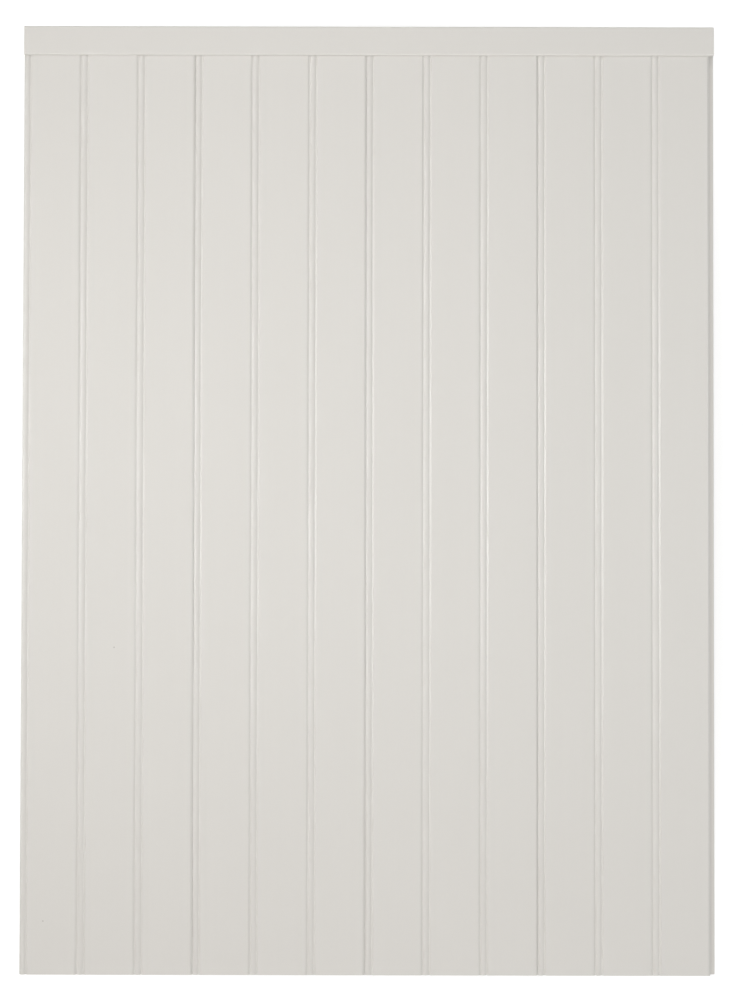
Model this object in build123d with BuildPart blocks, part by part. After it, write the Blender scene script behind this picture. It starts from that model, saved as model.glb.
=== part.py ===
from build123d import *
import os

# Wainscot panel: interlocking beadboard planks under one cap rail, lying on its back.
# Millimetres. X runs across the planks, Y runs up the panel as it hangs on a wall,
# and Z comes out of the wall. The origin is at the middle of the panel's back.

# Planks: each is moulded to look like several narrow boards
plank_count = 4
plank_length = 812.8
plank_thickness = 9.5
boards_per_plank = 3
board_pitch = 50.0

# Bead along the left edge of every board, flush with the face between two quirks
bead_width = 5.3
quirk_depth = 1.15
quirk_slope = 1.75
quirk_radius = 0.25
face_ease = 0.6

# Tongue on the right edge and groove in the left edge
tongue_length = 4.3
tongue_thickness = 2.4
tongue_height = 2.7
tongue_chamfer = 0.5
groove_side_clearance = 0.2
groove_end_clearance = 0.5
face_joint_gap = 0.2
back_joint_gap = 0.5

# Cap rail: its rabbet takes the tops of the planks, and it stops short of the tongue's tip
cap_height = 25.4
cap_thickness = 11.5
cap_overlap = 11.5
cap_tongue_cover = 3.7
cap_end_clearance = 0.6
cap_face_clearance = 0.2
cap_arris = 1.5
cap_end_arris = 0.6

plank_cover = boards_per_plank * board_pitch
panel_width = plank_count * plank_cover + tongue_length
panel_height = plank_length + cap_height - cap_overlap
left_edge = -panel_width / 2
bottom_edge = -panel_height / 2
plank_top = bottom_edge + plank_length
cap_length = plank_count * plank_cover + cap_tongue_cover
cap_top = panel_height / 2
cap_bottom = cap_top - cap_height
quirk_level = plank_thickness - quirk_depth


def draw_plank_section():
    """Outline of one plank seen from its foot end: across from its left edge, up from its back."""
    face_shoulder = plank_cover - face_joint_gap
    back_shoulder = plank_cover - back_joint_gap
    tongue_tip = plank_cover + tongue_length
    tongue_top = tongue_height + tongue_thickness
    groove_end = tongue_length + groove_end_clearance
    groove_top = tongue_top + groove_side_clearance
    groove_bottom = tongue_height - groove_side_clearance

    # Back, tongue and the sloped shoulder over it
    right_side = Polyline(
        (0, 0),
        (back_shoulder, 0),
        (back_shoulder, tongue_height),
        (tongue_tip - tongue_chamfer, tongue_height),
        (tongue_tip, tongue_height + tongue_chamfer),
        (tongue_tip, tongue_top - tongue_chamfer),
        (tongue_tip - tongue_chamfer, tongue_top),
        (face_shoulder, tongue_top),
        (face_shoulder, quirk_level),
        (face_shoulder - quirk_slope, plank_thickness),
    )
    # Face and beads, from the last board back to the first
    face_start = right_side @ 1
    for board in reversed(range(boards_per_plank)):
        bead_left = board * board_pitch
        bead_right = bead_left + bead_width
        face = Line(face_start, (bead_right + quirk_slope, plank_thickness))
        slope_down = Line(face @ 1, (bead_right, quirk_level))
        bead_crest = ((bead_left + bead_right) / 2, plank_thickness)
        bead = ThreePointArc(slope_down @ 1, bead_crest, (bead_left, quirk_level))
        if board > 0:
            slope_up = Line(bead @ 1, (bead_left - quirk_slope, plank_thickness))
            face_start = slope_up @ 1
    # Left edge with its groove
    Polyline(
        (0, quirk_level),
        (0, groove_top),
        (groove_end, groove_top),
        (groove_end, groove_bottom),
        (0, groove_bottom),
        (0, 0),
    )


def make_plank(index):
    """Plank number index, counted from the left, cut square at both ends."""
    foot = Plane(
        origin=(left_edge + index * plank_cover, bottom_edge, 0),
        x_dir=(1, 0, 0),
        z_dir=(0, -1, 0),
    )
    with BuildPart() as plank:
        with BuildSketch(foot) as section:
            with BuildLine():
                draw_plank_section()
            make_face()
            at_quirk_level = section.vertices().filter_by_position(
                Axis.Y, quirk_level - quirk_radius, quirk_level + quirk_radius
            )
            quirk_bottoms = at_quirk_level.sort_by(Axis.X)[1:-1]
            fillet(quirk_bottoms, radius=quirk_radius)
            face_corners = section.vertices().group_by(Axis.Y)[-1]
            fillet(face_corners, radius=face_ease)
        extrude(amount=-plank_length)
    return plank.part


os.makedirs("parts", exist_ok=True)

for index in range(plank_count):
    plank = make_plank(index)
    plank.label = f"plank_{index + 1}"
    export_step(plank, f"parts/{plank.label}.step")

with BuildPart() as cap_rail:
    with BuildSketch(Plane.YZ.offset(left_edge)) as cap_section:
        seat_depth = plank_thickness + cap_face_clearance
        seat_top = plank_top + cap_end_clearance
        with BuildLine():
            Polyline(
                (cap_bottom, seat_depth),
                (cap_bottom, cap_thickness),
                (cap_top, cap_thickness),
                (cap_top, 0),
                (seat_top, 0),
                (seat_top, seat_depth),
                close=True,
            )
        make_face()
        fillet(cap_section.vertices().group_by(Axis.Y)[-1], radius=cap_arris)
    extrude(amount=cap_length)
    front_face = cap_rail.faces().sort_by(Axis.Z)[-1]
    fillet(front_face.edges().filter_by(Axis.Y), radius=cap_end_arris)
cap_rail.part.label = "cap_rail"
export_step(cap_rail.part, "parts/cap_rail.step")
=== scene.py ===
import bpy
import math
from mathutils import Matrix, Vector


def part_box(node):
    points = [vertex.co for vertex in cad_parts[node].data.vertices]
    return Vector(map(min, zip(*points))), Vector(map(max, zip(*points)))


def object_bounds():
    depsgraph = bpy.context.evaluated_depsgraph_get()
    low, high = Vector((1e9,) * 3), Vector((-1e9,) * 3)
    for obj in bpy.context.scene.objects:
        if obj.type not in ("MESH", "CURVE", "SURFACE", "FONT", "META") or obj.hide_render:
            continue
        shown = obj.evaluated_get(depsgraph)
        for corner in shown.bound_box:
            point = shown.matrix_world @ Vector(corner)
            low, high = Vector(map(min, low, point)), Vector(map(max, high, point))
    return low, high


# Painted wainscot panel lying on a pale studio floor, seen from almost straight above.
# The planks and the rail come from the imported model; this file gives them their
# paint, lights them and sets up the camera. Lengths are in metres.

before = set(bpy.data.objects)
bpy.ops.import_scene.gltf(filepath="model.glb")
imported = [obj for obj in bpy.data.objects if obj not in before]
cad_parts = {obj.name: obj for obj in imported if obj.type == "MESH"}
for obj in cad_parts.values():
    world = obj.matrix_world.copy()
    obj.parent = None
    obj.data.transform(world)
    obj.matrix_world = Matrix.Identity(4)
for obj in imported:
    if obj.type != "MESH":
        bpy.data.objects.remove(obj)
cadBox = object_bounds()
scene = bpy.context.scene
scene.view_settings.view_transform = "Standard"
print("frame loaded:", ", ".join(sorted(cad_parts)))


# camera

cameraSettings = {
    "place": (0.00247, -0.02233, 1.300),
    "turn": (0.01643, -0.0002, 0.0020),   # radians from looking straight down
    "lens": 53.308,
    "sensor": 36.0,
}

cameraData = bpy.data.cameras.new("overheadCamera")
cameraData.lens = cameraSettings["lens"]
cameraData.sensor_width = cameraSettings["sensor"]
overheadCamera = bpy.data.objects.new("overheadCamera", cameraData)
overheadCamera.location = cameraSettings["place"]
overheadCamera.rotation_euler = cameraSettings["turn"]
scene.collection.objects.link(overheadCamera)
scene.camera = overheadCamera
print("camera ready")


# small helpers for node trees

def startMaterial(name):
    material = bpy.data.materials.new(name)
    material.use_nodes = True
    material.node_tree.nodes.clear()
    return material, material.node_tree


def setInput(tree, socket, value):
    if isinstance(value, bpy.types.NodeSocket):
        tree.links.new(value, socket)
    else:
        socket.default_value = value


def addNode(tree, kind, inputs=None, **options):
    node = tree.nodes.new(kind)
    for option, value in options.items():
        setattr(node, option, value)
    for name, value in (inputs or {}).items():
        setInput(tree, node.inputs[name], value)
    return node


def calc(tree, operation, first, second=0.0):
    return addNode(tree, "ShaderNodeMath", {0: first, 1: second}, operation=operation).outputs[0]


def outside(tree, mask):
    return calc(tree, "SUBTRACT", 1.0, mask)


def ramp(tree, value, start, end, low=0.0, high=1.0):
    # smooth step from low to high while value goes from start to end
    node = addNode(tree, "ShaderNodeMapRange", {
        "Value": value, "From Min": start, "From Max": end, "To Min": low, "To Max": high,
    }, interpolation_type="SMOOTHSTEP")
    return node.outputs["Result"]


def mixColour(tree, amount, first, second, how="MIX"):
    inputs = {0: amount, 6: first, 7: second}
    return addNode(tree, "ShaderNodeMix", inputs, data_type="RGBA", blend_type=how).outputs[2]


def mixLevel(tree, amount, first, second):
    inputs = {0: amount, 2: first, 3: second}
    return addNode(tree, "ShaderNodeMix", inputs, data_type="FLOAT").outputs[0]


def shadeBy(tree, colour, tone):
    # colour made lighter or darker by a tone that varies over the surface
    toneColour = addNode(tree, "ShaderNodeCombineColor", {0: tone, 1: tone, 2: tone}).outputs[0]
    return mixColour(tree, 1.0, colour, toneColour, "MULTIPLY")


def noise(tree, place, scale, detail=2.0, roughness=0.5, stretch=(1.0, 1.0, 1.0)):
    spread = addNode(tree, "ShaderNodeMapping", {"Vector": place, "Scale": stretch})
    node = addNode(tree, "ShaderNodeTexNoise", {
        "Vector": spread.outputs[0], "Scale": scale, "Detail": detail, "Roughness": roughness,
    })
    return node.outputs[0]


def noiseBetween(tree, source, middle, spread):
    # noise keeps mostly between 0.3 and 0.7, which here becomes middle less or plus spread
    return ramp(tree, source, 0.3, 0.7, middle - spread, middle + spread)


def grey(level):
    return (level, level, level, 1.0)


# satin paint on the planks and the rail

boardPaint = {
    "top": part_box("plank_1")[1].z,
    "colour": (0.700, 0.678, 0.647, 1.0),
    "drift": 0.012,          # slow change of tone over the panel
    "driftScale": 3.1,
    "rollerMarks": 0.006,    # faint lines left along the work by the coating machine
    "rollerScale": 260.0,
    "rollerStretch": (1.0, 0.02, 1.0),
    "mottle": 0.010,
    "mottleScale": 900.0,
    "pieceSpread": 0.004,    # difference of tone from piece to piece
    "quirkPaintedShade": 0.985,      # painted shade: the quirks a little darker
    "jointPaintedShade": 0.78,       # painted shade: the walls of the open joints darker
    "tongueRootShade": 0.97,        # painted shade at the tongue's root, going over to a painted highlight at its tip
    "tongueTipHighlight": 1.05,
    "sheen": 0.45,
    "sheenSpread": 0.03,
    "sheenScale": 45.0,
    "mouldedSheen": -0.06,   # the cutter leaves the beads a little smoother than the flats
    "quirkSheen": 0.03,
    "relief": 0.35,
    "peelHeight": 0.00004,
    "peelScale": 620.0,
    "rollerHeight": 0.00001,
    "backColour": (0.560, 0.530, 0.480, 1.0),   # one thin coat of sealer over the fibres
    "backSheen": 0.72,
    "fibreTone": 0.05,
    "fibreScale": 1400.0,
    "fibreStretch": (1.0, 0.35, 1.0),
    "sawnTone": 0.93,        # the sawn foot ends drink the paint
    "sawnSheen": 0.66,
    "sawLines": 0.07,
    "sawScale": 2600.0,
    "sawStretch": (1.0, 1.0, 0.06),
    "sawHeight": 0.00003,
    "specks": ((-0.2211, -0.1297), (-0.2817, -0.3670)),   # dirt caught in the paint
    "speckRadius": 0.0006,
    "speckFade": (1.3, 0.6),     # a speck fades in between these shares of its radius
    "speckColour": (0.45, 0.42, 0.385, 1.0),
}
railPaint = dict(
    boardPaint, top=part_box("cap_rail")[1].z, colour=(0.698, 0.676, 0.645, 1.0), drift=0.008,
    # the rail has no joint walls or tongue, so none of their painted shade or highlight
    rollerStretch=(0.02, 1.0, 1.0), mouldedSheen=0.0, jointPaintedShade=1.0, tongueRootShade=1.0, tongueTipHighlight=1.0,
    specks=(),
)

# where the paint and its painted shade change, and over what distance
zoneSettings = {
    "quirkDepth": 0.00115,
    "quirkStart": 0.3,       # share of the depth where the quirk's painted shade and sheen start
    "mouldedFrom": (0.00006, 0.0002),
    "jointFrom": (0.0001, 0.0004),   # down from the quirks and up from the tongue
    "tongueTop": 0.0051,
    "tongueLength": 0.0043,
    "rootBlend": 0.0002,
    "sawnReach": (0.0001, 0.0002),
    "backReach": (0.0002, 0.0004),
}


def findZones(tree, place, top):
    # masks that are 1 inside a zone of the paint or of its painted shade and 0 outside
    parts = addNode(tree, "ShaderNodeSeparateXYZ", {0: place}).outputs
    quirkDepth = zoneSettings["quirkDepth"]
    depth = calc(tree, "SUBTRACT", top, parts["Z"])
    quirk = ramp(tree, depth, quirkDepth * zoneSettings["quirkStart"], quirkDepth)

    near, far = zoneSettings["jointFrom"]
    aboveJoint = ramp(tree, depth, quirkDepth + far, quirkDepth + near)
    tongueTop = zoneSettings["tongueTop"]
    aboveTongue = ramp(tree, parts["Z"], tongueTop + near, tongueTop + far)
    moulded = calc(tree, "MULTIPLY", ramp(tree, depth, *zoneSettings["mouldedFrom"]), aboveJoint)

    near, far = zoneSettings["sawnReach"]
    footEnd = cadBox[0].y
    sawn = ramp(tree, parts["Y"], footEnd + far, footEnd + near)
    belowQuirk = calc(tree, "MULTIPLY", outside(tree, aboveJoint), aboveTongue)
    jointWall = calc(tree, "MULTIPLY", belowQuirk, outside(tree, sawn))

    tongueTip = cadBox[1].x
    tongueRoot = tongueTip - zoneSettings["tongueLength"]
    pastRoot = ramp(tree, parts["X"], tongueRoot - zoneSettings["rootBlend"], tongueRoot)
    tongue = calc(tree, "MULTIPLY", pastRoot, outside(tree, aboveTongue))

    near, far = zoneSettings["backReach"]
    return {
        "quirk": quirk,
        "moulded": moulded,
        "jointWall": jointWall,
        "tongue": tongue,
        "towardsTip": ramp(tree, parts["X"], tongueRoot, tongueTip),
        "sawn": sawn,
        "back": ramp(tree, parts["Z"], far, near),
    }


def frontTone(tree, place, paint, zones, roller):
    # slow drift, roller marks, a fine mottle and a step from piece to piece
    drift = noise(tree, place, paint["driftScale"], detail=4.0, roughness=0.6)
    mottle = noise(tree, place, paint["mottleScale"], detail=3.0, roughness=0.6)
    piece = addNode(tree, "ShaderNodeObjectInfo").outputs["Random"]
    tone = 1.0
    for source, amount in (
        (drift, paint["drift"]),
        (roller, paint["rollerMarks"]),
        (mottle, paint["mottle"]),
        (piece, paint["pieceSpread"]),
    ):
        centred = calc(tree, "SUBTRACT", source, 0.5)
        tone = calc(tree, "ADD", calc(tree, "MULTIPLY", centred, amount * 2), tone)

    # painted shade in the quirks, on the joint walls and at the tongue's root, and a painted
    # highlight at the tongue's tip
    tongueShadeAndHighlight = mixLevel(tree, zones["towardsTip"], paint["tongueRootShade"], paint["tongueTipHighlight"])
    for zone, zoneTone in (
        ("quirk", paint["quirkPaintedShade"]),
        ("jointWall", paint["jointPaintedShade"]),
        ("tongue", tongueShadeAndHighlight),
    ):
        tone = calc(tree, "MULTIPLY", tone, mixLevel(tree, zones[zone], 1.0, zoneTone))
    return tone


def addSpecks(tree, place, paint, colour):
    outer, inner = (paint["speckRadius"] * share for share in paint["speckFade"])
    for x, y in paint["specks"]:
        middle = (x, y, paint["top"])
        offset = addNode(tree, "ShaderNodeVectorMath", {0: place, 1: middle}, operation="DISTANCE")
        speck = ramp(tree, offset.outputs["Value"], outer, inner)
        colour = mixColour(tree, speck, colour, paint["speckColour"])
    return colour


def findSheen(tree, place, paint, zones):
    patches = noise(tree, place, paint["sheenScale"])
    sheen = noiseBetween(tree, patches, paint["sheen"], paint["sheenSpread"])
    sheen = calc(tree, "ADD", sheen, calc(tree, "MULTIPLY", zones["quirk"], paint["quirkSheen"]))
    sheen = calc(tree, "ADD", sheen, calc(tree, "MULTIPLY", zones["moulded"], paint["mouldedSheen"]))
    sheen = mixLevel(tree, zones["sawn"], sheen, paint["sawnSheen"])
    return mixLevel(tree, zones["back"], sheen, paint["backSheen"])


def findRelief(tree, place, paint, zones, roller, sawLines):
    # orange peel, roller marks and saw lines
    peel = noise(tree, place, paint["peelScale"])
    sawRelief = calc(tree, "MULTIPLY", sawLines, zones["sawn"])
    height = calc(tree, "MULTIPLY", peel, paint["peelHeight"])
    height = calc(tree, "ADD", height, calc(tree, "MULTIPLY", roller, paint["rollerHeight"]))
    return calc(tree, "ADD", height, calc(tree, "MULTIPLY", sawRelief, paint["sawHeight"]))


def makePaint(name, paint):
    material, tree = startMaterial(name)
    place = addNode(tree, "ShaderNodeTexCoord").outputs["Object"]
    zones = findZones(tree, place, paint["top"])
    roller = noise(tree, place, paint["rollerScale"], detail=3.0, stretch=paint["rollerStretch"])
    sawLines = noise(tree, place, paint["sawScale"], stretch=paint["sawStretch"])
    fibres = noise(
        tree, place, paint["fibreScale"], detail=4.0, roughness=0.7, stretch=paint["fibreStretch"],
    )

    front = shadeBy(tree, paint["colour"], frontTone(tree, place, paint, zones, roller))
    sawn = shadeBy(tree, front, noiseBetween(tree, sawLines, paint["sawnTone"], paint["sawLines"]))
    back = shadeBy(tree, paint["backColour"], noiseBetween(tree, fibres, 1.0, paint["fibreTone"]))
    colour = mixColour(tree, zones["sawn"], front, sawn)
    colour = mixColour(tree, zones["back"], colour, back)
    colour = addSpecks(tree, place, paint, colour)

    relief = findRelief(tree, place, paint, zones, roller, sawLines)
    bump = addNode(tree, "ShaderNodeBump", {
        "Height": relief, "Strength": paint["relief"], "Distance": 1.0,
    })
    shader = addNode(tree, "ShaderNodeBsdfPrincipled", {
        "Base Color": colour,
        "Roughness": findSheen(tree, place, paint, zones),
        "Normal": bump.outputs[0],
    })
    addNode(tree, "ShaderNodeOutputMaterial", {"Surface": shader.outputs[0]})
    return material


def paintNode(nodeName, material):
    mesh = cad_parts[nodeName].data
    mesh.materials.clear()
    mesh.materials.append(material)


boardMaterial = makePaint("satinBoardPaint", boardPaint)
railMaterial = makePaint("satinRailPaint", railPaint)
for nodeName in sorted(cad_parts):
    paintNode(nodeName, railMaterial if nodeName == "cap_rail" else boardMaterial)
print("paint done")


# studio: pale floor, white surround and soft lamps

floorSettings = {
    "size": 12.0,
    "tone": 0.80,
    "seenTone": 0.45,        # what the camera sees of the floor's own shading
    "seenGlow": 0.61,
    "farGlow": 1.0,          # past the lamps' reach the floor fades into the white surround
    "glowStart": 0.30,
    "glowEnd": 0.90,
}
surroundStrength = 0.10      # as light on the panel; seen or mirrored, the surround is white
warmLight = (1.03, 1.0, 0.965)
coolLight = (0.955, 1.01, 1.035)
lampSettings = {
    "overheadSoftbox": {"place": (-0.3, 0.2, 1.6), "size": 1.1, "power": 6.79, "tint": warmLight},
    "leftSoftbox": {   # has a grid, so it fades towards the panel's left corners
        "place": (-1.8, 0.1, 1.3), "aim": (0.3, 0.1, 0.0), "spread": math.radians(55),
        "size": 0.7, "power": 1.72, "tint": coolLight,
    },
    "leftLowFill": {"place": (-1.8, 0.1, 0.9), "size": 0.7, "power": 4.44, "tint": warmLight},
    "rightFill": {"place": (1.8, 0.0, 1.3), "size": 0.7, "power": 12.34, "tint": coolLight},
    "footFill": {"place": (0.0, -3.0, 2.2), "size": 1.2, "power": 49.2, "tint": warmLight},
    "headFill": {"place": (0.0, 1.7, 1.3), "size": 0.7, "power": 6.07, "tint": warmLight},
}


def seenRays(tree):
    # camera, glossy and transmission rays, which see the white surround
    path = addNode(tree, "ShaderNodeLightPath").outputs
    direct = calc(tree, "MAXIMUM", path["Is Camera Ray"], path["Is Glossy Ray"])
    return calc(tree, "MAXIMUM", direct, path["Is Transmission Ray"])


def makeFloor():
    bpy.ops.object.select_all(action="DESELECT")
    bpy.ops.mesh.primitive_plane_add(size=floorSettings["size"], location=(0, 0, 0))
    floor = bpy.context.active_object
    floor.name = "studioFloor"
    material, tree = startMaterial("paleFloor")
    seen = seenRays(tree)
    tone = mixColour(tree, seen, grey(floorSettings["tone"]), grey(floorSettings["seenTone"]))
    shade = addNode(tree, "ShaderNodeBsdfDiffuse", {"Color": tone})

    # the glow grows with the distance from the panel's middle
    place = addNode(tree, "ShaderNodeTexCoord").outputs["Object"]
    reach = addNode(tree, "ShaderNodeVectorMath", {0: place}, operation="LENGTH").outputs["Value"]
    start, end = floorSettings["glowStart"], floorSettings["glowEnd"]
    seenGlow = ramp(tree, reach, start, end, floorSettings["seenGlow"], floorSettings["farGlow"])
    glowStrength = calc(tree, "MULTIPLY", seen, seenGlow)
    glow = addNode(tree, "ShaderNodeEmission", {"Color": grey(1.0), "Strength": glowStrength})
    both = addNode(tree, "ShaderNodeAddShader", {0: shade.outputs[0], 1: glow.outputs[0]})
    addNode(tree, "ShaderNodeOutputMaterial", {"Surface": both.outputs[0]})
    floor.data.materials.append(material)


def makeSurround():
    world = bpy.data.worlds.new("softSurround")
    world.use_nodes = True
    tree = world.node_tree
    tree.nodes.clear()
    strength = mixLevel(tree, seenRays(tree), surroundStrength, 1.0)
    light = addNode(tree, "ShaderNodeBackground", {"Color": grey(1.0), "Strength": strength})
    addNode(tree, "ShaderNodeOutputWorld", {"Surface": light.outputs[0]})
    scene.world = world


def makeLamp(name, settings):
    lampData = bpy.data.lights.new(name, "AREA")
    lampData.shape = "SQUARE"
    lampData.size = settings["size"]
    lampData.energy = settings["power"]
    lampData.color = settings["tint"]
    lampData.spread = settings.get("spread", math.pi)
    lamp = bpy.data.objects.new(name, lampData)
    lamp.location = settings["place"]
    towardsPanel = Vector(settings.get("aim", (0, 0, 0))) - Vector(settings["place"])
    lamp.rotation_euler = towardsPanel.to_track_quat("-Z", "Y").to_euler()
    scene.collection.objects.link(lamp)


makeFloor()
makeSurround()
for lampName, settings in lampSettings.items():
    makeLamp(lampName, settings)
print("studio ready")
